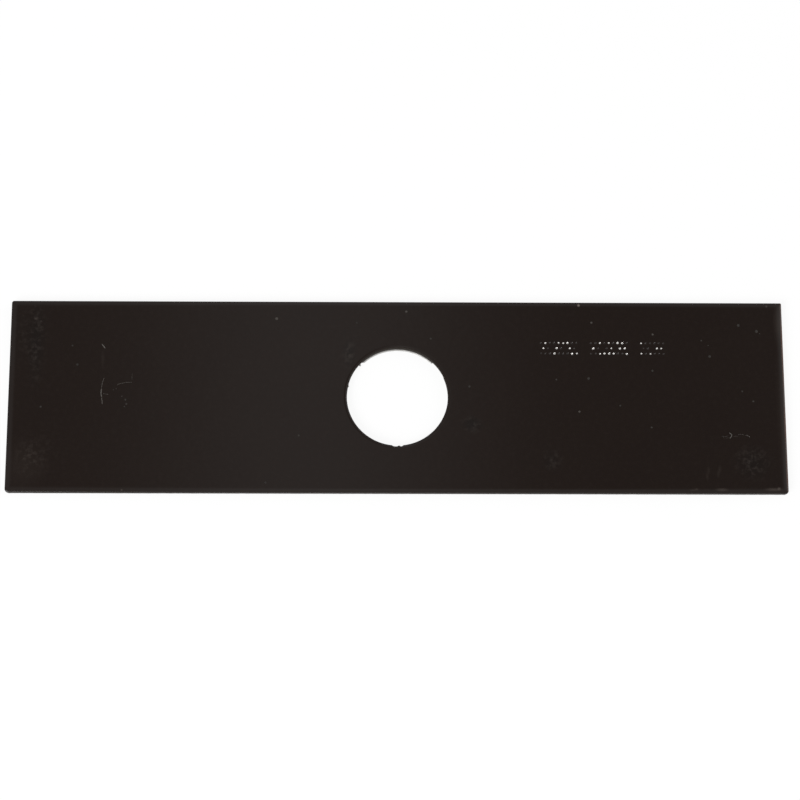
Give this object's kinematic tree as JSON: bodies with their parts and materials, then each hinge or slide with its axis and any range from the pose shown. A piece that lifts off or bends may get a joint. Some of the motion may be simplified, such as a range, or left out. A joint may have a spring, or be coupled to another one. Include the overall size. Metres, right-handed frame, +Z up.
{
  "type": "edger blade",
  "caption": "Flat rectangular steel edger blade with square ends, sheared edges and a punched round centre hole that clamps on a drive pilot.",
  "frame": {"origin": "centre of the hole on the lower face, which the blade rests on; also the middle of the box's base", "axes": "+X along the blade's length, +Y across its width, +Z up through its thickness along the hole's axis"},
  "size_m": [0.1968, 0.05, 0.0024],
  "materials": {
    "paint": "gloss brown-black paint with scratches and specks of dust"
  },
  "bodies": {
    "root": {"blade": "paint"}
  },
  "joints": []
}
